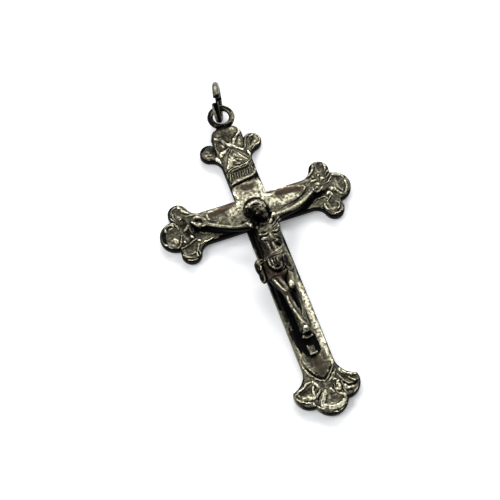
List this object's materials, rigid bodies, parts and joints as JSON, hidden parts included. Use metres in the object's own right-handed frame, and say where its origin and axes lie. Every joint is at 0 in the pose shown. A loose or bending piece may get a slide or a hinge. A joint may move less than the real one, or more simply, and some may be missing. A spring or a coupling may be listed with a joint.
{
  "type": "crucifix pendant",
  "caption": "Cast crucifix pendant with trefoil ends, raised figure held by riveted nails, title scroll, soldered eye and open jump ring.",
  "frame": {"origin": "middle of the arms' crossing on the flat back face, which lies on the surface", "axes": "+X to the right along the arms seen from the front, +Y up the shaft to the eye and jump ring, +Z out of the front toward the viewer"},
  "size_m": [0.026, 0.048, 0.0055],
  "materials": {
    "cross_metal": "tarnished silver-tone metal, black in the recesses and pale on the worn rims",
    "figure_metal": "dark tarnished silver-tone metal with bright worn highlights",
    "nail_metal": "worn silver-tone metal",
    "ring_metal": "smooth grey silver-tone wire, dulled"
  },
  "bodies": {
    "root": {"cross": "cross_metal", "corpus": "figure_metal", "nail_left": "nail_metal", "nail_right": "nail_metal", "nail_feet": "nail_metal", "jump_ring": "ring_metal"}
  },
  "joints": []
}
